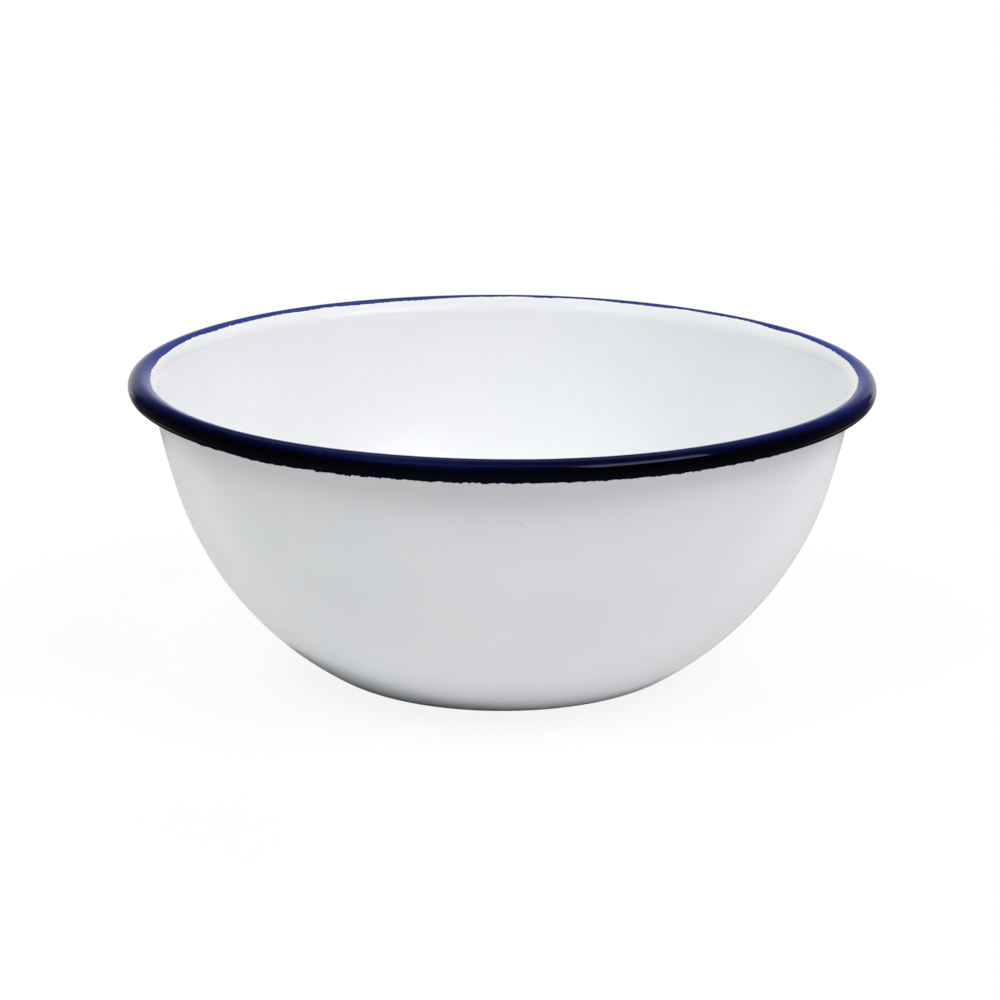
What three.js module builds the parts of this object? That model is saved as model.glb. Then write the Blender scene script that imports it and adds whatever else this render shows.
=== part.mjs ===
// Enamel pudding bowl: a pressed steel shell with a rolled rim, under fired coats of enamel.
// Millimetres, +Z up. The origin is the middle of the base, on the table.
import * as THREE from "three";

// Driving dimensions, in millimetres and degrees.
const overallDiameter = 160; // across the rolled rim, over its enamel
const overallHeight = 66.5; // table to the top of the rim
const baseDiameter = 61.7; // outer edge of the ring that the bowl stands on
const standingRingWidth = 8; // flat ring left round the pressed-up middle of the base
const baseDome = 1; // how far the middle of the base is pressed up
const cornerRadius = 14.7; // steel, inside, from the base into the wall
const upperWallRadius = 187; // steel, inside, the slow curve below the rim
const upperWallSweep = 6.4; // angle that the slow curve turns through
const rimDraft = 10.2; // lean of the wall, off vertical, where the lip begins
const lipRadius = 3.5; // steel, where the wall turns outwards over the top
const rollHeight = 4.9; // the rolled rim from top to bottom, over its enamel
const throatGap = 0.3; // between the end of the roll and the outside of the wall
const blueReach = 24; // angle that the blue comes over the top to the inside
const steelThickness = 0.6;
const groundThickness = 0.1;
const whiteThickness = 0.2;
const blueThickness = 0.3;
const bondGap = 0.02; // parting line between fused layers

// Facets: round the bowl, then along each stretch of the section.
const facetsRound = 48;
const cornerSteps = 2;
const wallSteps = 5;
const upperWallSteps = 1;
const lipInsideSteps = 2;
const lipTopSteps = 1;
const rollOverSteps = 2;
const rollUnderSteps = 4;

// Depths of the layers, measured from the inner face of the steel. Into the bowl and out of
// the roll they are positive; through the steel to the outside of the bowl they are negative.
const insideGround = bondGap;
const insideCover = insideGround + groundThickness + bondGap;
const rimFace = insideCover + blueThickness;
const outsideGround = -(steelThickness + bondGap);
const outsideCover = outsideGround - groundThickness - bondGap;
const outsideFace = outsideCover - whiteThickness;

// Directions of the normal along the section: up from the base, inwards from the wall, over the
// lip to the inner edge of the blue, and out at the widest part of the roll.
const up = Math.PI / 2;
const out = 0;
const wallTopAngle = Math.PI - THREE.MathUtils.degToRad(rimDraft);
const wallAngle = wallTopAngle - THREE.MathUtils.degToRad(upperWallSweep);
const blueEdgeAngle = up + THREE.MathUtils.degToRad(blueReach);

// The section is a chain of stations along the inner face of the steel. Each holds a point
// (radius, height) and the normal there, which points into the bowl or out of the roll.
function flatStation(radius, height) {
  return { point: new THREE.Vector2(radius, height), normal: new THREE.Vector2(0, 1) };
}

// On an arc the normal points away from the centre, and on a hollow one, whose radius is
// negative, it points to the centre.
function arcStation(centre, radius, angle) {
  const normal = new THREE.Vector2(Math.cos(angle), Math.sin(angle));
  return { point: normal.clone().multiplyScalar(radius).add(centre), normal };
}

// The stations of an arc, apart from its first, which ends the stretch before it.
function arc(centre, radius, fromAngle, toAngle, steps) {
  return Array.from({ length: steps }, (_, i) =>
    arcStation(centre, radius, THREE.MathUtils.lerp(fromAngle, toAngle, (i + 1) / steps)),
  );
}

// The point at a depth from a station, along its normal.
function pointAt(station, depth) {
  return station.normal.clone().multiplyScalar(depth).add(station.point);
}

// Rolled rim: the lip and the roll meet, tangent, at the top of the bowl.
const rollRadius = rollHeight / 2 - rimFace;
const rollCentre = new THREE.Vector2(
  overallDiameter / 2 - rollHeight / 2,
  overallHeight - rollHeight / 2,
);
const lipCentre = new THREE.Vector2(rollCentre.x, overallHeight - rimFace - lipRadius);
const wallTop = arcStation(lipCentre, lipRadius, wallTopAngle);

// The roll turns until its enamel is the throat gap away from the outside of the wall.
const wallFromRoll = pointAt(wallTop, outsideFace).sub(rollCentre).dot(wallTop.normal);
const throatAngle = Math.acos(Math.min(1, (wallFromRoll - throatGap) / (rollHeight / 2)));
const rollEndAngle = wallTopAngle + throatAngle - 2 * Math.PI;

// Wall: the slow upper curve hangs from the lip. The main curve leaves its lower end, tangent to
// it, and has the one radius that also meets the corner's arc as a tangent.
const baseHeight = -outsideFace;
const cornerCentre = new THREE.Vector2(baseDiameter / 2, baseHeight + cornerRadius);
const upperCentre = pointAt(wallTop, upperWallRadius);
const wallStart = arcStation(upperCentre, -upperWallRadius, wallAngle);
const fromCorner = wallStart.point.clone().sub(cornerCentre);
const wallRadius =
  (fromCorner.lengthSq() - cornerRadius ** 2) /
  (2 * (-fromCorner.dot(wallStart.normal) - cornerRadius));
const wallCentre = pointAt(wallStart, wallRadius);
const cornerAngle = wallCentre.clone().sub(cornerCentre).angle();

// Stretches of the section, from the axis to the end of the roll.
const base = [
  flatStation(0, baseHeight + baseDome),
  flatStation(baseDiameter / 2 - standingRingWidth, baseHeight),
  flatStation(baseDiameter / 2, baseHeight),
];
const corner = arc(cornerCentre, -cornerRadius, up, cornerAngle, cornerSteps);
const wall = arc(wallCentre, -wallRadius, cornerAngle, wallAngle, wallSteps);
const upperWall = arc(upperCentre, -upperWallRadius, wallAngle, wallTopAngle, upperWallSteps);
const lipInside = arc(lipCentre, lipRadius, wallTopAngle, blueEdgeAngle, lipInsideSteps);
const lipTop = arc(lipCentre, lipRadius, blueEdgeAngle, up, lipTopSteps);
const rollOver = arc(rollCentre, rollRadius, up, out, rollOverSteps);
const rollUnder = arc(rollCentre, rollRadius, out, rollEndAngle, rollUnderSteps);

const toThroat = [...base, ...corner, ...wall, ...upperWall];
const toBlueEdge = [...toThroat, ...lipInside];
const overRim = [lipInside.at(-1), ...lipTop, ...rollOver, ...rollUnder];
const wholeSheet = [...toBlueEdge, ...lipTop, ...rollOver, ...rollUnder];

// A layer is a run of stations at two depths, joined into one outline and turned round the axis.
// The outline starts and ends on the axis or, round the rim, closes on itself.
function layer(name, run, lowDepth, thickness, finish) {
  const outline = [
    ...run.map((station) => pointAt(station, lowDepth)),
    ...run.map((station) => pointAt(station, lowDepth + thickness)).reverse(),
  ];
  if (outline[0].x > 0) outline.push(outline[0].clone());
  const geometry = new THREE.LatheGeometry(outline, facetsRound);
  geometry.rotateX(up); // from the lathe's Y axis to Z
  const mesh = new THREE.Mesh(geometry, new THREE.MeshStandardMaterial(finish));
  mesh.name = name;
  return mesh;
}

// Finishes.
const bareSteel = { color: 0x8d9094, roughness: 0.45, metalness: 1 };
const groundEnamel = { color: 0x20242a, roughness: 0.3, metalness: 0 };
const whiteEnamel = { color: 0xe9ebec, roughness: 0.15, metalness: 0 };
const blueEnamel = { color: 0x14185c, roughness: 0.1, metalness: 0 };

// The steel, then the coats on its inside, and then those on its outside.
const bowl = new THREE.Group();
bowl.name = "pudding_bowl";
bowl.add(
  layer("steel_shell", wholeSheet, -steelThickness, steelThickness, bareSteel),
  layer("ground_coat_inside", wholeSheet, insideGround, groundThickness, groundEnamel),
  layer("white_coat_inside", toBlueEdge, insideCover, whiteThickness, whiteEnamel),
  layer("blue_rim_coat", overRim, insideCover, blueThickness, blueEnamel),
  layer("ground_coat_outside", toThroat, outsideGround - groundThickness, groundThickness, groundEnamel),
  layer("white_coat_outside", toThroat, outsideFace, whiteThickness, whiteEnamel),
);

export default bowl;
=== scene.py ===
import bpy
import numpy as np
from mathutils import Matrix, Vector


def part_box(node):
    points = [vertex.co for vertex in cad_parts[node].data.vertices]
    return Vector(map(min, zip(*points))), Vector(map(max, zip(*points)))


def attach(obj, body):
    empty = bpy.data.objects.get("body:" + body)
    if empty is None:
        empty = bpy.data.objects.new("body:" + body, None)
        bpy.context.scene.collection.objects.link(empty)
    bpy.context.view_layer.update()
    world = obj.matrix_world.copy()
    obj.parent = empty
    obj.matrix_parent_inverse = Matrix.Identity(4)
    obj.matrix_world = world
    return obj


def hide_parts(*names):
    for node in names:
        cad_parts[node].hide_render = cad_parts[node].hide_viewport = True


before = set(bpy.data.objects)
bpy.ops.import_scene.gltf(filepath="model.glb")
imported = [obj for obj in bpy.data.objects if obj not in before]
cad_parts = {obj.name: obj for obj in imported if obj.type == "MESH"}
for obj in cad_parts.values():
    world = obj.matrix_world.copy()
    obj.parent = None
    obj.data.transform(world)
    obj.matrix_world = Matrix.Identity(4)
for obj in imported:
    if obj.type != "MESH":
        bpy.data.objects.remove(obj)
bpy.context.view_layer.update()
print("frame loaded:", ", ".join(sorted(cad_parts)))

scene = bpy.context.scene
scene.view_settings.view_transform = "Standard"


# The pressed sheet's section, in metres and degrees, with the sizes of the CAD solids.
sheet = dict(
    baseRadius=0.03085,      # outer edge of the ring that the bowl stands on
    ringWidth=0.008,
    dome=0.001,              # the middle of the base is pressed up
    cornerRadius=0.0147,
    upperRadius=0.187,
    upperSweep=6.4,
    draft=10.2,
    lipRadius=0.0035,
    rollHeight=0.0049,
    throatGap=0.0003,        # between the end of the roll and the wall
    steel=0.0006,
    ground=0.0001,
    white=0.0002,
    blue=0.0003,
    bond=0.00002,            # parting line between two layers
)
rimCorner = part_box("blue_rim_coat")[1]
rimRadius, rimTop = rimCorner.x, rimCorner.z

# Depths from the steel's inner face: into the bowl is positive, through the steel is negative.
insideGround = sheet["bond"]
insideCover = insideGround + sheet["ground"] + sheet["bond"]
insideFace = insideCover + sheet["white"]
rimFace = insideCover + sheet["blue"]
outsideGround = -sheet["steel"] - sheet["bond"]
outsideCover = outsideGround - sheet["ground"] - sheet["bond"]
outsideFace = outsideCover - sheet["white"]


# A point at an angle (degrees) on a circle: centre + radius * (cos, sin), as (..., 2).
def onCircle(centre, radius, angle):
    angle = np.radians(angle)
    return np.stack([centre[0] + radius * np.cos(angle), centre[1] + radius * np.sin(angle)], -1)


# The direction (degrees) from one section point to another.
def direction(start, end):
    return np.degrees(np.arctan2(end[1] - start[1], end[0] - start[0]))


# Centres and angles of the section. The normal's angle is 90 on the base, near 170 on the wall,
# 90 again on top of the rim and then falls through 0 at the widest part of the roll.
wallTopAngle = 180 - sheet["draft"]
wallAngle = wallTopAngle - sheet["upperSweep"]
rollFace = sheet["rollHeight"] / 2      # the roll's radius over its enamel
rollRadius = rollFace - rimFace
rollCentre = np.array([rimRadius - rollFace, rimTop - rollFace])
lipCentre = np.array([rollCentre[0], rimTop - rimFace - sheet["lipRadius"]])
wallTop = onCircle(lipCentre, sheet["lipRadius"], wallTopAngle)
upperCentre = onCircle(wallTop, sheet["upperRadius"], wallTopAngle)
wallStart = onCircle(upperCentre, -sheet["upperRadius"], wallAngle)
baseHeight = -outsideFace
cornerCentre = np.array([sheet["baseRadius"], baseHeight + sheet["cornerRadius"]])

# The wall's arc goes on from the upper arc at wallStart and runs into the corner's arc, so its
# radius less the corner's is the distance between their centres.
fromCorner = wallStart - cornerCentre
lean = -fromCorner @ onCircle((0, 0), 1, wallAngle)
wallRadius = (fromCorner @ fromCorner - sheet["cornerRadius"] ** 2) / (2 * (lean - sheet["cornerRadius"]))
wallCentre = onCircle(wallStart, wallRadius, wallAngle)
cornerAngle = direction(cornerCentre, wallCentre)

# The roll ends where it is the throat's gap away from the outside of the wall.
throatReach = (wallTop - rollCentre) @ onCircle((0, 0), 1, wallTopAngle) + outsideFace
rollEnd = wallTopAngle - 360 + np.degrees(np.arccos((throatReach - sheet["throatGap"]) / rollFace))


# Rows of the section (radius, height, normal's radius, normal's height) along an arc, without
# its first: centre + radius * normal. A hollow arc has a negative radius.
def arcRows(centre, radius, start, end, rows):
    angle = np.linspace(start, end, rows + 1)[1:]
    return np.hstack([onCircle(centre, radius, angle), onCircle((0, 0), 1, angle)])


# Rows of the base from the axis out: height = dome * (1 + cos(pi * r / inner)) / 2, then flat.
def baseRows(rows):
    inner = sheet["baseRadius"] - sheet["ringWidth"]
    radius = np.linspace(0, inner, rows)
    turn = np.pi * radius / inner
    slope = -sheet["dome"] * np.pi / inner / 2 * np.sin(turn)
    rise = sheet["dome"] * (1 + np.cos(turn)) / 2
    normal = np.stack([-slope, np.ones(rows)], 1) / np.hypot(slope, 1)[:, None]
    domed = np.column_stack([radius, baseHeight + rise, normal])
    return np.vstack([domed, [sheet["baseRadius"], baseHeight, 0, 1]])


# The section in named runs. At a detail of 1 each has this many rows.
runRows = dict(base=12, corner=12, wall=38, upper=10, lip=16, roll=24)


def sectionRuns(detail):
    rows = {name: max(2, round(count * detail)) for name, count in runRows.items()}
    return dict(
        base=baseRows(rows["base"]),
        corner=arcRows(cornerCentre, -sheet["cornerRadius"], 90, cornerAngle, rows["corner"]),
        wall=arcRows(wallCentre, -wallRadius, cornerAngle, wallAngle, rows["wall"]),
        upper=arcRows(upperCentre, -sheet["upperRadius"], wallAngle, wallTopAngle, rows["upper"]),
        lip=arcRows(lipCentre, sheet["lipRadius"], wallTopAngle, 90, rows["lip"]),
        roll=arcRows(rollCentre, rollRadius, 90, rollEnd, rows["roll"]),
    )


# Some of the runs, one after the other.
def joined(runs, *names):
    return np.vstack([runs[name] for name in names])


# Rows moved along their normals by a depth, one number or one for each row.
def atDepth(rows, depth):
    return rows[:, :2] + rows[:, 2:] * np.reshape(depth, (-1, 1))


# Smooth step from 0 to 1 between two limits: 3 t^2 - 2 t^3.
def smooth(value, low, high):
    t = np.clip((value - low) / (high - low), 0, 1)
    return t * t * (3 - 2 * t)


# A closed ripple round the bowl: sine waves with whole numbers of waves a turn, drawn from low to
# below high, with random phases, added up and scaled to a spread of about 1.
def ripple(angle, low, high, waves, seed):
    draw = np.random.default_rng(seed)
    perTurn = draw.integers(low, high, waves)[:, None]
    phase = draw.uniform(0, 2 * np.pi, waves)[:, None]
    return np.sin(perTurn * angle + phase).sum(0) / np.sqrt(waves / 2)


# Ripples added up, each with its share in front of what it is drawn from.
def ripples(angle, parts):
    return sum(share * ripple(angle, *drawn) for share, *drawn in parts)


# Smooth humps round the bowl added up: height * exp(-(degrees away / width)^2 / 2).
def humps(angle, places):
    away = lambda at: (np.degrees(angle) - at + 180) % 360 - 180
    return sum(height * np.exp(-0.5 * (away(at) / width) ** 2) for at, width, height in places)


# Firing leaves the shell a little out of true: one side of the rim settles, its level waves
# round the bowl, and the wall bellies by a hair. Every layer follows the same field.
trueness = dict(
    drop=0.00009,
    settle=0.00094,
    waves=[(2, 0.000044), (3, 0.000079), (6, -0.000038)],   # waves a turn and their height
    foot=0.004,              # all of it starts at this height
    belly=0.00005,
    bellyRise=0.054,         # height of the stretch that bellies
    bellyRipples=[(2, 9, 7, 11), (3, 12, 7, 12)],   # waves a turn from and below, how many, seed
    bellyTurns=(60, 75),     # how fast each of the two comes and goes up the wall, radians a metre
)


# Section points (rows, around, 2) turned to (rows, around, 3) and then put out of true: z falls
# by the rim's fall times smooth(z), and r gains belly * sin(pi * share of the wall) * ripples.
def turned(section, angle):
    radius, height = section[..., 0], section[..., 1]
    fall = trueness["drop"] + trueness["settle"] * (1 + np.cos(angle)) / 2
    fall = fall + sum(size * np.sin(count * angle) for count, size in trueness["waves"])
    wall = np.sin(np.pi * np.clip((height - trueness["foot"]) / trueness["bellyRise"], 0, 1))
    first, second = [ripple(angle, *drawn) for drawn in trueness["bellyRipples"]]
    firstTurn, secondTurn = trueness["bellyTurns"]
    slow = first * np.cos(height * firstTurn) + second * np.sin(height * secondTurn)
    radius = radius + trueness["belly"] * wall * slow
    height = height - fall * smooth(height, trueness["foot"], rimTop)
    return np.stack([radius * np.cos(angle), radius * np.sin(angle), height], -1)


# A skin from a grid of points (rows, around, 3), closed round the axis. Its outline runs from
# pole to pole, where a ring is one point, or comes back to its first row.
def skin(name, grid, poles):
    rows, around = grid.shape[:2]
    index = np.arange(rows * around).reshape(rows, around)
    if poles:
        index[[0, -1]] = index[[0, -1], :1]
    else:
        index = np.vstack([index, index[:1]])
    low, high = index[:-1], index[1:]
    quads = np.stack([low, np.roll(low, -1, 1), np.roll(high, -1, 1), high], -1).reshape(-1, 4)
    starts, ends = quads[:, 0] == quads[:, 1], quads[:, 2] == quads[:, 3]
    used, place = np.unique(quads, return_inverse=True)
    quads = place.reshape(-1, 4)
    fromPole, toPole = quads[starts][:, [0, 2, 3]], quads[ends][:, :3]
    faces = quads[~starts & ~ends].tolist() + fromPole.tolist() + toPole.tolist()
    mesh = bpy.data.meshes.new(name)
    mesh.from_pydata(grid.reshape(-1, 3)[used], [], faces)
    mesh.polygons.foreach_set("use_smooth", np.ones(len(mesh.polygons), bool))
    mesh.update()
    piece = bpy.data.objects.new(name, mesh)
    scene.collection.objects.link(piece)
    return piece, used


# Angles round the bowl, in radians, without the last that closes the turn.
def roundBowl(around):
    return np.linspace(0, 2 * np.pi, around, endpoint=False)


# A layer of the bowl: the outline runs along the rows at the low depth and back at the high one.
def layer(name, rows, low, high, around):
    outline = np.vstack([atDepth(rows, low), atDepth(rows, high)[::-1]])
    section = np.broadcast_to(outline[:, None], (len(outline), around, 2))
    return skin(name, turned(section, roundBowl(around)), poles=True)[0]


# Puts a finished piece in the frame in place of its solid.
def seat(piece, node, material):
    piece.data.materials.append(material)
    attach(piece, "root")
    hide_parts(node)


# One socket of a node tree. Sums and products of wires add Math nodes, and add() makes any other
# node from its type, its settings and the values or wires of its inputs.
class Wire:
    def __init__(self, tree, socket=None):
        self.tree, self.socket = tree, socket

    def add(self, kind, settings=None, inputs=None, out=0):
        node = self.tree.nodes.new(kind)
        for name, value in (settings or {}).items():
            setattr(node, name, value)
        for name, value in (inputs or {}).items():
            if isinstance(value, Wire):
                self.tree.links.new(value.socket, node.inputs[name])
            else:
                node.inputs[name].default_value = value
        return Wire(self.tree, node.outputs[out] if len(node.outputs) else None)

    def maths(self, operation, first, second=0.0):
        return self.add("ShaderNodeMath", {"operation": operation}, {0: first, 1: second})

    def __add__(self, other):
        return self.maths("ADD", self, other)

    def __radd__(self, other):
        return self.maths("ADD", other, self)

    def __sub__(self, other):
        return self.maths("SUBTRACT", self, other)

    def __rsub__(self, other):
        return self.maths("SUBTRACT", other, self)

    def __mul__(self, other):
        return self.maths("MULTIPLY", self, other)

    def __rmul__(self, other):
        return self.maths("MULTIPLY", other, self)

    def __truediv__(self, other):
        return self.maths("DIVIDE", self, other)

    def __rtruediv__(self, other):
        return self.maths("DIVIDE", other, self)

    def __pow__(self, other):
        return self.maths("POWER", self, other)

    def __rpow__(self, other):
        return self.maths("POWER", other, self)

    def __gt__(self, other):
        return self.maths("GREATER_THAN", self, other)

    def __lt__(self, other):
        return self.maths("LESS_THAN", self, other)

    def exp(self):
        return self.maths("EXPONENT", self)

    # 0 to 1 smoothly as the wire goes from low to high
    def step(self, low, high):
        return self.add("ShaderNodeMapRange", {"interpolation_type": "SMOOTHSTEP"},
                        {"Value": self, "From Min": low, "From Max": high})

    # one colour where the wire is 0 and another where it is 1
    def blend(self, colour, other):
        full = lambda c: c if isinstance(c, Wire) else (*c, 1)
        inputs = {0: self, 6: full(colour), 7: full(other)}
        return self.add("ShaderNodeMix", {"data_type": "RGBA"}, inputs, 2)

    # a vector stretched and then shifted, its length, and one of its parts
    def moved(self, stretch, shift=(0, 0, 0)):
        return self.add("ShaderNodeMapping", {}, {"Vector": self, "Location": shift, "Scale": stretch})

    def length(self):
        return self.add("ShaderNodeVectorMath", {"operation": "LENGTH"}, {0: self}, "Value")

    def part(self, letter):
        return self.add("ShaderNodeSeparateXYZ", {}, {0: self}, letter)

    # noise at a vector, with scale lumps a unit
    def noise(self, scale, detail):
        return self.add("ShaderNodeTexNoise", {}, {"Vector": self, "Scale": scale, "Detail": detail})


# An empty material, the first wire of its tree and the wire of its Object coordinates.
def newMaterial(name):
    material = bpy.data.materials.new(name)
    material.use_nodes = True
    material.node_tree.nodes.clear()
    wire = Wire(material.node_tree)
    return material, wire, wire.add("ShaderNodeTexCoord", out="Object")


# The fine ripple that molten glass sets with, as a bumped normal.
def glassRipple(place, look):
    peel = place.noise(look["peel"], detail=1)
    return place.add("ShaderNodeBump", {}, {
        "Strength": look["peelStrength"],
        "Distance": look["peelHeight"],
        "Height": peel,
    })


# White cover enamel: faint clouds in the white, and a few pin-prick specks of the dark coat under it.
whiteLook = dict(
    white=(0.865, 0.875, 0.88),
    cloud=(0.845, 0.858, 0.868),
    clouds=22,               # a metre
    cloudEdge=(0.35, 0.65),  # noise between which the white turns to cloud
    speck=(0.10, 0.10, 0.11),
    specksPerMetre=180,
    speckSize=(0.016, 0.032),   # share of its cell in which a speck is full, and in which it shows
    speckless=0.4,           # share of the cells with none
    speckDepth=0.5,          # share of its colour that shows through
    roughness=0.18,
    roughSpread=0.06,        # change in it from cloud to cloud
    ior=1.5,
    peel=620,                # ripples a metre
    peelHeight=0.000012,
    peelStrength=0.5,
)


def whiteEnamel():
    material, wire, place = newMaterial("white_enamel")
    cloud = place.noise(whiteLook["clouds"], detail=3)
    cells = {"Vector": place, "Scale": whiteLook["specksPerMetre"]}
    middle = wire.add("ShaderNodeTexVoronoi", {}, cells, "Distance")
    lot = wire.add("ShaderNodeTexVoronoi", {}, cells, "Color")
    chance = wire.add("ShaderNodeSeparateColor", {}, {"Color": lot}, "Red")
    speck = (1 - middle.step(*whiteLook["speckSize"])) * (chance > whiteLook["speckless"])
    colour = cloud.step(*whiteLook["cloudEdge"]).blend(whiteLook["white"], whiteLook["cloud"])
    colour = (speck * whiteLook["speckDepth"]).blend(colour, whiteLook["speck"])
    shader = wire.add("ShaderNodeBsdfPrincipled", {}, {
        "Base Color": colour,
        "Roughness": whiteLook["roughness"] + (cloud - 0.5) * whiteLook["roughSpread"],
        "IOR": whiteLook["ior"],
        "Normal": glassRipple(place, whiteLook),
    })
    wire.add("ShaderNodeOutputMaterial", {}, {"Surface": shader})
    return material


# Blue edging enamel: cobalt where it is thin at its inner edge, and close to black where it pools,
# partly as painted shade down the roll and on its front. Each channel is thin * exp(-soak * glaze ^
# build), as light dies out in deepening glass. Where the attribute for the matt painted shade is 1,
# the glass is matt and painted near black, as shade under the roll.
blueLook = dict(
    thin=(0.034, 0.062, 0.285),
    soak=(15.0, 15.2, 12.4),
    build=1.8,
    streaks=(70, 70, 1400),  # a metre: long round the rim and fine across it
    streakDepth=0.05,
    roughness=0.09,
    roughSpread=0.05,        # change in it from streak to streak
    ior=1.5,
    specular=0.40,
    peel=480,                # ripples a metre
    peelHeight=0.000014,
    peelStrength=0.5,
    throat=(0.003, 0.0035, 0.008),   # painted shade: the matt, near-black glass under the roll
)


def blueEnamel():
    material, wire, place = newMaterial("blue_enamel")
    glaze = wire.add("ShaderNodeAttribute", {"attribute_name": "glaze"}, {}, "Fac")
    dull = wire.add("ShaderNodeAttribute", {"attribute_name": "dull"}, {}, "Fac")
    streak = place.moved(blueLook["streaks"]).noise(1, detail=2)
    # pooled glass and painted shade: the share darkens the colour down the roll and on the front
    depth = (glaze + (streak - 0.5) * blueLook["streakDepth"]) ** blueLook["build"]
    channels = zip(blueLook["thin"], blueLook["soak"])
    red, green, blue = [thin * (depth * -soak).exp() for thin, soak in channels]
    shader = wire.add("ShaderNodeBsdfPrincipled", {}, {
        "Base Color": wire.add("ShaderNodeCombineColor", {}, {"Red": red, "Green": green, "Blue": blue}),
        "Roughness": blueLook["roughness"] + (streak - 0.5) * blueLook["roughSpread"],
        "IOR": blueLook["ior"],
        "Specular IOR Level": blueLook["specular"],
        "Normal": glassRipple(place, blueLook),
    })
    # painted shade: a near-black matt glass on the tail, in the fillet and under the roll
    throat = wire.add("ShaderNodeBsdfDiffuse", {}, {"Color": (*blueLook["throat"], 1)})
    surface = wire.add("ShaderNodeMixShader", {}, {0: dull, 1: shader, 2: throat})
    wire.add("ShaderNodeOutputMaterial", {}, {"Surface": surface})
    return material


# Ground enamel: dark grey glass with a fine grain of bubbles.
groundLook = dict(
    dark=(0.010, 0.013, 0.017),
    pale=(0.022, 0.026, 0.033),
    grain=900,               # bubbles a metre
    roughness=0.25,
    roughMore=0.15,          # added to it on the bubbles
)


def groundEnamel():
    material, wire, place = newMaterial("ground_enamel")
    grain = place.noise(groundLook["grain"], detail=2)
    shader = wire.add("ShaderNodeBsdfPrincipled", {}, {
        "Base Color": grain.blend(groundLook["dark"], groundLook["pale"]),
        "Roughness": groundLook["roughness"] + grain * groundLook["roughMore"],
    })
    wire.add("ShaderNodeOutputMaterial", {}, {"Surface": shader})
    return material


# Bare steel, pickled before coating: an even dull grey with a fine mottle.
steelLook = dict(
    dark=(0.42, 0.43, 0.45),
    pale=(0.55, 0.56, 0.58),
    mottle=400,              # spots a metre
    roughness=0.38,
    roughMore=0.15,          # added to it on the pale spots
)


def pickledSteel():
    material, wire, place = newMaterial("pickled_steel")
    mottle = place.noise(steelLook["mottle"], detail=4)
    shader = wire.add("ShaderNodeBsdfPrincipled", {}, {
        "Base Color": mottle.blend(steelLook["dark"], steelLook["pale"]),
        "Metallic": 1.0,
        "Roughness": steelLook["roughness"] + mottle * steelLook["roughMore"],
    })
    wire.add("ShaderNodeOutputMaterial", {}, {"Surface": shader})
    return material


whiteFinish, blueFinish = whiteEnamel(), blueEnamel()
groundFinish, steelFinish = groundEnamel(), pickledSteel()
print("materials ready")


# The hidden layers: the steel and the ground coats on both its faces.
hidden = dict(
    detail=0.8,
    around=192,              # points round the bowl
)


def hiddenLayers():
    around = hidden["around"]
    runs = sectionRuns(hidden["detail"])
    whole = joined(runs, "base", "corner", "wall", "upper", "lip", "roll")
    toThroat = joined(runs, "base", "corner", "wall", "upper")
    steel = layer("steelShell", whole, -sheet["steel"], 0, around)
    inner = layer("groundInside", whole, insideGround, insideGround + sheet["ground"], around)
    outer = layer("groundOutside", toThroat, outsideGround - sheet["ground"], outsideGround, around)
    seat(steel, "steel_shell", steelFinish)
    seat(inner, "ground_coat_inside", groundFinish)
    seat(outer, "ground_coat_outside", groundFinish)


hiddenLayers()
print("steel and ground coats built")


# The white coats. Inside, the white runs on under the blue and feathers out at the top of the rim.
whiteCoat = dict(
    detail=1.0,
    around=512,
    feather=15,              # degrees on the lip over which it gets thin
    featherLeast=0.03,       # share of its thickness that is left at the top
)


def whiteCoats():
    runs = sectionRuns(whiteCoat["detail"])
    toTop = joined(runs, "base", "corner", "wall", "upper", "lip")
    toThroat = joined(runs, "base", "corner", "wall", "upper")
    least = whiteCoat["featherLeast"]
    past = np.degrees(np.arctan2(runs["lip"][:, 3], runs["lip"][:, 2])) - 90
    thick = np.full(len(toTop), sheet["white"])
    thick[-len(past):] *= least + (1 - least) * smooth(past, 0, whiteCoat["feather"])
    inside = layer("whiteInside", toTop, insideCover, insideCover + thick, whiteCoat["around"])
    outside = layer("whiteOutside", toThroat, outsideFace, outsideCover, whiteCoat["around"])
    seat(inside, "white_coat_inside", whiteFinish)
    seat(outside, "white_coat_outside", whiteFinish)


whiteCoats()
print("white coats built")


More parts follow.
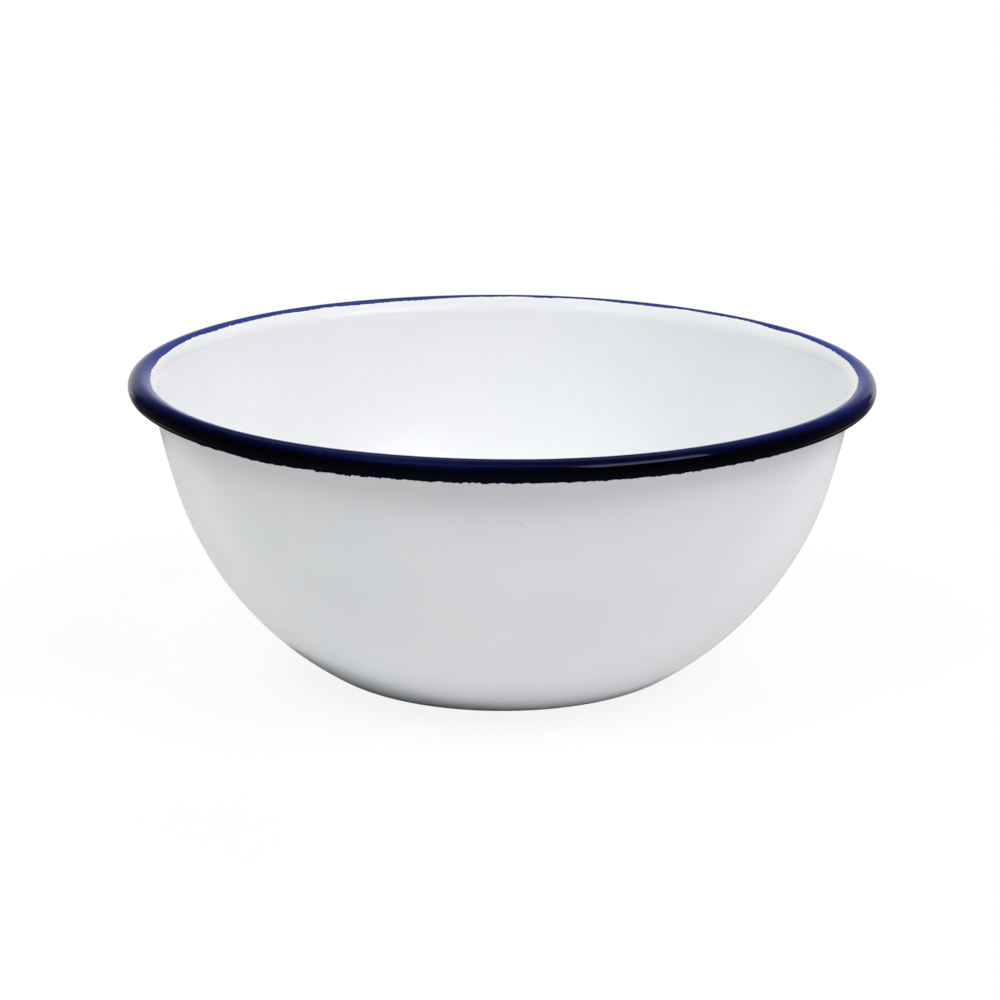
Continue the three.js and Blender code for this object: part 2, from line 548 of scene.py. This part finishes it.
# The blue edging. It starts inside the lip on a ragged line, goes over the roll, fills the throat
# with a fillet and ends on the outside of the wall in a ragged fringe. Ripples are given by their
# share where there are several, waves a turn from and below, how many waves, and seed.
edging = dict(
    around=1800,
    # rows of points across each stretch of the face and of the hidden back
    rows=dict(tail=7, fillet=6, roll=21, lip=10, backLip=4, backRoll=7, backTail=2),
    reach=23.5,              # degrees inside the top of the lip
    sways=[(1, 6, 205), (2, 5, 0)],   # slow wander of that line: waves a turn, degrees, where it peaks
    # places where the blue ran further in or less far: degrees round the bowl, width, degrees more
    runs=[
        (187, 12, 5), (157, 4, -4.5), (110, 10, 8), (93, 4, -3),
        (65, 4, 6.5), (44.5, 2.5, -2), (36.5, 2.5, 5), (8, 10, 2),
    ],
    reachRag=0.8,            # and its fine raggedness
    reachRipples=[(1, 20, 60, 9, 21), (0.8, 120, 420, 24, 22)],
    tail=0.0021,             # length on the wall below the fillet
    tailSway=0.00050,        # more of it at the two sides
    tailLeft=0.00018,        # and on the left
    tailRag=0.00010,         # and its fine raggedness
    tailRipples=[(0.6, 60, 240, 24, 23), (0.5, 9, 40, 9, 24), (0.6, 240, 600, 36, 26)],
    step=0.00006,            # how far the blue stands on the white at its edges
    roundOff=0.0004,         # width of the rounded edge
    fillFrom=0.25,           # share of the reach from which it swells to its full depth
    tailSpacing=0.6,         # powers that space the rows out along the tail and the lip
    lipSpacing=1.5,
    fillet=0.00035,
    slack=0.00005,           # waviness of the roll, which only takes off from it
    slackRipple=(5, 24, 9, 25),
    slackTop=2.2,            # top and span of that ripple
    slackSpan=4,
    drain=0.00015,           # thinner under the roll
    drained=(-110, -70, -25),   # degrees on the roll: full from here to here, and then gone by here
    dull=(-28, -4),          # degrees on the roll between which the painted matt shade gives way to bright glass
    clear=0.0000045,         # gap to the coats under it
    tuck=0.2,                # degrees that the hidden face goes up the wall past the fillet
)


# Evenly spaced shares from 0 to 1 as a column, one for each row.
def shares(rows):
    return np.linspace(0, 1, rows)[:, None]


# Height of a rounded edge from 0 to 1: sqrt(1 - (1 - distance / width)^2).
def rounded(distance):
    return np.sqrt(1 - (1 - np.clip(distance / edging["roundOff"], 0, 1)) ** 2)


# Limits of the blue round the bowl: the inner one in degrees on the lip from its top, the lower
# one as a length on the wall. Each is a mean plus slow waves, humps and ripples.
def rimLimits(angle):
    sways = [size * np.cos(count * angle - np.radians(count * at)) for count, size, at in edging["sways"]]
    reach = edging["reach"] + sum(sways) + humps(angle, edging["runs"])
    reach = reach + edging["reachRag"] * ripples(angle, edging["reachRipples"])
    tail = edging["tail"] + edging["tailSway"] * np.cos(2 * angle)
    tail = tail + edging["tailRag"] * ripples(angle, edging["tailRipples"])
    return reach, tail - edging["tailLeft"] * np.cos(angle)


# The fillet's centre, and the angles at which it leaves the roll and meets the wall. Its circle
# touches the roll and the tail from outside, so two circles round their centres cross at its own.
def filletPlace():
    fromWall = sheet["upperRadius"] - (outsideFace - edging["step"]) + edging["fillet"]
    fromRoll = rollFace + edging["fillet"]
    apart = np.linalg.norm(rollCentre - upperCentre)
    along = (apart ** 2 + fromWall ** 2 - fromRoll ** 2) / (2 * apart)
    across = np.sqrt(fromWall ** 2 - along ** 2)
    axis = (rollCentre - upperCentre) / apart
    centre = upperCentre + along * axis + across * np.array([axis[1], -axis[0]])
    return centre, direction(rollCentre, centre), direction(upperCentre, centre) + 180


# The face that shows, in rows from the tail's end up over the roll to the inner edge, and how much
# painted matt shade each of its points takes: 1 on the tail, in the fillet and under the roll, 0 on top.
def seenFace(angle, reach, tailEnd):
    rows = edging["rows"]
    filletCentre, rollLeave, wallMeet = filletPlace()

    tailLeft = (1 - shares(rows["tail"])[:-1] ** edging["tailSpacing"]) * tailEnd
    tailDepth = outsideFace - edging["step"] * rounded(tailEnd - tailLeft)
    tailTurn = wallMeet - np.degrees(tailLeft / sheet["upperRadius"])
    tail = onCircle(upperCentre, tailDepth - sheet["upperRadius"], tailTurn)

    filletTurn = wallMeet - 180 + shares(rows["fillet"]) * (rollLeave - wallMeet + 360)
    fillet = onCircle(filletCentre, edging["fillet"], filletTurn + 0 * angle)

    up = shares(rows["roll"])[1:]
    rollTurn = rollLeave + up * (90 - rollLeave) + 0 * angle
    slack = (ripple(angle, *edging["slackRipple"]) - edging["slackTop"]) / edging["slackSpan"]
    slack = edging["slack"] * slack * np.sin(np.pi * up)
    full, fullEnd, gone = edging["drained"]
    drained = edging["drain"] * smooth(rollTurn, rollLeave, full) * (1 - smooth(rollTurn, fullEnd, gone))
    roll = onCircle(rollCentre, rollFace + slack - drained, rollTurn)

    lipLeft = (1 - shares(rows["lip"])[1:]) ** edging["lipSpacing"] * reach
    swell = (rimFace - insideFace - edging["step"]) * smooth(lipLeft, edging["fillFrom"] * reach, reach)
    lipDepth = insideFace + edging["step"] * rounded(np.radians(lipLeft) * sheet["lipRadius"]) + swell
    lip = onCircle(lipCentre, sheet["lipRadius"] + lipDepth, 90 + reach - lipLeft)

    low = np.ones((len(tail) + len(fillet), len(angle)))
    # painted shade: matt and near black below the roll's bright top
    dull = np.concatenate([low, 1 - smooth(rollTurn, *edging["dull"]), np.zeros(lip.shape[:2])])
    return np.concatenate([tail, fillet, roll, lip]), dull


# The hidden face, in rows from the inner edge back over the roll and down the wall to the tail's
# end, clear of the coats under it.
def hiddenFace(angle, reach, tailEnd):
    rows, clear, tuck = edging["rows"], edging["clear"], edging["tuck"]
    lipTurn = 90 + reach * (1 - shares(rows["backLip"]))
    feather = smooth(lipTurn, 90, 90 + whiteCoat["feather"])
    lipDepth = insideCover + clear + (insideFace - insideCover) * feather
    lip = onCircle(lipCentre, sheet["lipRadius"] + lipDepth, lipTurn)
    rollTurn = 90 + shares(rows["backRoll"])[1:] * (rollEnd - 90)
    roll = onCircle(rollCentre, rollRadius + insideCover + clear, rollTurn + 0 * angle)
    wallMeet = filletPlace()[2]
    tailTurn = np.degrees(tailEnd / sheet["upperRadius"])
    down = wallMeet + tuck - shares(rows["backTail"]) * (tailTurn + tuck)
    tail = onCircle(upperCentre, outsideFace - clear - sheet["upperRadius"], down)
    return np.concatenate([lip, roll, tail])


# How thick the blue glass looks, as a share: it pools as it runs down from its inner edge. The
# share also paints in shade: darker down the roll and on the front, and a little darker at the back.
glazing = dict(
    pool=0.0068,             # distance from the inner edge at which the glass is thickest
    poolMore=0.010,          # and how much later that is away from the thick side
    poolCurve=2.5,           # power of that change round the bowl
    thickSide=263,           # the glass has run together on this side, the front, where painted shade also darkens it; degrees round the bowl
    thickLeft=1.22,          # and falls off this much sooner to the left
    thickLeast=0.37,         # there its share is at least this
    thickGain=1.25,          # over a stretch this much wider
    thickRise=0.0021,        # from this distance on
    thickLag=0.16,           # and then it pools later
    lagCurve=4,              # power of that change round the bowl
    backLeast=0.16,          # the least share at the back, a painted darkening there
    thinner=[(236, 12, 0.035), (258, 8, 0.03), (283, 8, -0.05)],   # changes: place, width, share less
)


# The share is run / pool less the lag, at least the least of its side, less the local changes.
# The run is summed over the face's rows from the inner edge, and thick is a cosine round the bowl.
def glazeShare(face, angle):
    strides = np.diff(face[::-1], axis=0, prepend=face[-1:])
    run = np.linalg.norm(strides, axis=-1).cumsum(0)[::-1]
    away = (angle - np.radians(glazing["thickSide"]) + np.pi) % (2 * np.pi) - np.pi
    away = np.where(away < 0, np.maximum(glazing["thickLeft"] * away, -np.pi), away)
    thick = np.clip(np.cos(away), 0, 1)
    pool = glazing["pool"] + glazing["poolMore"] * (1 - thick) ** glazing["poolCurve"]
    side = np.clip(glazing["thickGain"] * thick, 0, 1)
    least = glazing["thickLeast"] * side * np.clip(run / glazing["thickRise"], 0, 1)
    least = np.maximum(least, glazing["backLeast"] * np.sin(angle))
    share = np.maximum(run / pool - glazing["thickLag"] * thick ** glazing["lagCurve"], least)
    return np.clip(share - humps(angle, glazing["thinner"]), 0, 1)


# The blue piece: its hidden and its seen face as one closed skin, with what its glass looks like,
# painted shade included, stored on its points.
def blueRim():
    angle = roundBowl(edging["around"])
    reach, tailEnd = rimLimits(angle)
    back = hiddenFace(angle, reach, tailEnd)
    face, dull = seenFace(angle, reach, tailEnd)
    piece, used = skin("blueRim", turned(np.concatenate([back, face]), angle), poles=False)
    backShare = np.ones(back.shape[:2])
    for name, share in dict(glaze=glazeShare(face, angle), dull=dull).items():
        values = np.concatenate([backShare, share]).ravel()[used].astype(np.float32)
        piece.data.attributes.new(name, "FLOAT", "POINT").data.foreach_set("value", values)
    seat(piece, "blue_rim_coat", blueFinish)


blueRim()
print("blue edging built")


# Camera, placed from the middle of the rim as the photograph sees it.
lookFrom = dict(
    distance=0.858,
    elevation=13.136,
    aimBelow=1.703,          # degrees below the middle of the rim
    aimLeft=0.032,           # and to its left
    lens=144,                # millimetres
    sensor=36,
    nearest=0.01,
)


def setCamera():
    camera = bpy.data.objects.new("camera", bpy.data.cameras.new("camera"))
    distance, rise = lookFrom["distance"], np.radians(lookFrom["elevation"])
    middle = rimTop - rollFace - trueness["drop"] - trueness["settle"] / 2
    camera.location = (0, -distance * np.cos(rise), middle + distance * np.sin(rise))
    pitch = np.radians(90 - lookFrom["elevation"] - lookFrom["aimBelow"])
    camera.rotation_euler = (pitch, 0, np.radians(lookFrom["aimLeft"]))
    camera.data.lens = lookFrom["lens"]
    camera.data.sensor_width = lookFrom["sensor"]
    camera.data.clip_start = lookFrom["nearest"]
    scene.collection.objects.link(camera)
    scene.camera = camera


setCamera()
print("camera set")


# Floor: matt white. For the camera most of it is plain white, and the rest takes the bowl's shadow
# and fades out away from it. Close under the bowl, where the camera doesn't see it, its colour is a
# painted shadow that darkens it to cut the light it throws back. Gloss sees a pale disk under the
# bowl, with the shadow where the bowl stands, a pale fan behind it, and dark elsewhere.
floorLook = dict(
    size=3.0,
    drop=0.00005,               # keeps it clear of the bowl's foot
    white=(0.92, 0.92, 0.92),
    plain=0.89,                 # share of plain white round the bowl
    fade=(0.12, 0.45),          # distances between which that share goes up to 1
    dark=(0.045, 0.045, 0.045),
    pale=(0.66, 0.66, 0.66),
    diskHalf=(0.175, 0.135),    # the pale disk's half width and half depth
    diskBack=0.075,             # how far its middle is behind the bowl's
    diskEdge=(1.05, 0.85),      # and its soft edge, as a share
    stand=(0.041, 0.048),       # the shadow's soft edge where the bowl stands
    standLeft=0.005,            # how far its middle is to the left
    standWide=1.15,             # and how much wider than deep it is
    under=(0.12, 0.12, 0.12),   # painted shadow: the floor's colour close under the bowl, hidden from the camera
    underEdge=(0.036, 0.056),
    fan=(1.5, 1.5),             # slopes of the fan's left and right edges
    fanEdge=(-0.14, 0.10),
)


def floorWhite():
    material, wire, place = newMaterial("floor_white")
    seen = wire.add("ShaderNodeLightPath", out="Is Camera Ray")
    gloss = wire.add("ShaderNodeLightPath", out="Is Glossy Ray")

    # what gloss sees
    right, behind = place.part("X"), place.part("Y")
    leftSlope, rightSlope = floorLook["fan"]
    fan = wire.maths("MINIMUM", behind + right * leftSlope, behind - right * rightSlope)
    half, depth = floorLook["diskHalf"]
    disk = place.moved((1 / half, 1 / depth, 0), (0, -floorLook["diskBack"] / depth, 0)).length()
    spread = wire.maths("MAXIMUM", fan.step(*floorLook["fanEdge"]), disk.step(*floorLook["diskEdge"]))
    off = place.moved((1, floorLook["standWide"], 1), (floorLook["standLeft"], 0, 0)).length()
    pale = spread * off.step(*floorLook["stand"])
    mirrored = pale.blend(floorLook["dark"], floorLook["pale"])

    # what takes the light, darkened by a painted shadow close under the bowl that the camera doesn't see,
    # and how much of it the camera sees
    lit = wire.maths("MAXIMUM", off.step(*floorLook["underEdge"]), seen)
    paint = lit.blend(floorLook["under"], floorLook["white"])
    matt = wire.add("ShaderNodeBsdfDiffuse", {}, {"Color": paint})
    shown = gloss.blend((1, 1, 1), mirrored)
    plain = wire.add("ShaderNodeEmission", {}, {"Color": shown, "Strength": 1.0})
    fade = place.length().step(*floorLook["fade"])
    share = seen * (floorLook["plain"] + (1 - floorLook["plain"]) * fade)
    shader = wire.add("ShaderNodeMixShader", {}, {0: share + gloss, 1: matt, 2: plain})
    wire.add("ShaderNodeOutputMaterial", {}, {"Surface": shader})
    return material


def buildFloor():
    size, low = floorLook["size"], -floorLook["drop"]
    corners = [(-size, -size, low), (size, -size, low), (size, size, low), (-size, size, low)]
    mesh = bpy.data.meshes.new("floor")
    mesh.from_pydata(corners, [], [(0, 1, 2, 3)])
    mesh.materials.append(floorWhite())
    floor = bpy.data.objects.new("floor", mesh)
    scene.collection.objects.link(floor)


buildFloor()
print("floor laid")


# Lamps about the bowl, by azimuth (0 is +X) and elevation. The round ones don't show in gloss, and
# the strips, which have a width, draw thin lines of light on the roll.
studio = dict(
    aim=(0.0, 0.0, 0.04),
    distance=1.3,
    lamps=dict(
        frontLeft=dict(azimuth=-135, elevation=55, size=0.8, power=8.5, tint=(0.97, 1.01, 1.01)),
        frontRight=dict(azimuth=-45, elevation=55, size=0.8, power=7.9, tint=(1.06, 0.995, 0.895)),
        back=dict(azimuth=90, elevation=30, size=0.8, power=7.0, tint=(1.12, 1.00, 0.86)),
        backLeft=dict(azimuth=150, elevation=22, size=0.5, power=2.0, tint=(0.92, 1.00, 1.08)),
        backRight=dict(azimuth=30, elevation=22, size=0.5, power=3.7, tint=(0.97, 1.02, 1.02)),
        strip=dict(azimuth=-41, elevation=41, size=0.8, width=0.42, power=1.9, tint=(0.85, 0.93, 1.45)),
        longStrip=dict(azimuth=-95, elevation=60, size=1.4, width=0.35, power=0.22, tint=(1, 1, 1)),
    ),
)


def hangLamps():
    for name, lamp in studio["lamps"].items():
        light = bpy.data.lights.new(name, "AREA")
        light.shape = "RECTANGLE" if "width" in lamp else "DISK"
        light.size, light.size_y = lamp["size"], lamp.get("width", lamp["size"])
        light.energy, light.color = lamp["power"], lamp["tint"]
        turn, rise = np.radians(lamp["azimuth"]), np.radians(lamp["elevation"])
        away = np.array([np.cos(rise) * np.cos(turn), np.cos(rise) * np.sin(turn), np.sin(rise)])
        holder = bpy.data.objects.new(name, light)
        holder.location = np.array(studio["aim"]) + studio["distance"] * away
        holder.rotation_euler = (np.pi / 2 - rise, 0, turn + np.pi / 2)
        holder.visible_glossy = "width" in lamp
        scene.collection.objects.link(holder)


# The room: white for the camera and a dim light on the bowl. Gloss sees it dark, with a pale
# backdrop behind the bowl and a dimmer ceiling over that.
roomLook = dict(
    light=(0.048, 0.053, 0.065),
    dark=0.02,
    backdrop=0.68,
    ceiling=0.30,
    left=(-0.70, -0.32),     # the backdrop's soft edges, as tangents of the angle from straight back
    right=(0.54, 0.44),
    top=(0.46, -0.02),       # and as the sine of its elevation
    ceilingFoot=(0.55, 0.70),   # the ceiling's soft edges, the same way
    ceilingTop=(0.97, 0.85),
)


def paintRoom():
    world = bpy.data.worlds.new("room")
    world.use_nodes = True
    world.node_tree.nodes.clear()
    wire = Wire(world.node_tree)
    seen = wire.add("ShaderNodeLightPath", out="Is Camera Ray")
    gloss = wire.add("ShaderNodeLightPath", out="Is Glossy Ray")
    look = wire.add("ShaderNodeTexCoord", out="Generated")
    across, ahead, above = [look.part(letter) for letter in "XYZ"]
    side = across / ahead
    patch = side.step(*roomLook["left"]) * side.step(*roomLook["right"]) * (ahead > 0)
    low = above.step(*roomLook["top"]) * (roomLook["backdrop"] - roomLook["dark"])
    high = above.step(*roomLook["ceilingFoot"]) * above.step(*roomLook["ceilingTop"])
    high = high * (roomLook["ceiling"] - roomLook["dark"])
    glow = (roomLook["dark"] + patch * (low + high)).blend((0, 0, 0), (1, 1, 1))
    colour = seen.blend(gloss.blend(roomLook["light"], glow), (1, 1, 1))
    sky = wire.add("ShaderNodeBackground", {}, {"Color": colour, "Strength": 1.0})
    wire.add("ShaderNodeOutputWorld", {}, {"Surface": sky})
    scene.world = world


hangLamps()
paintRoom()
print("studio ready")
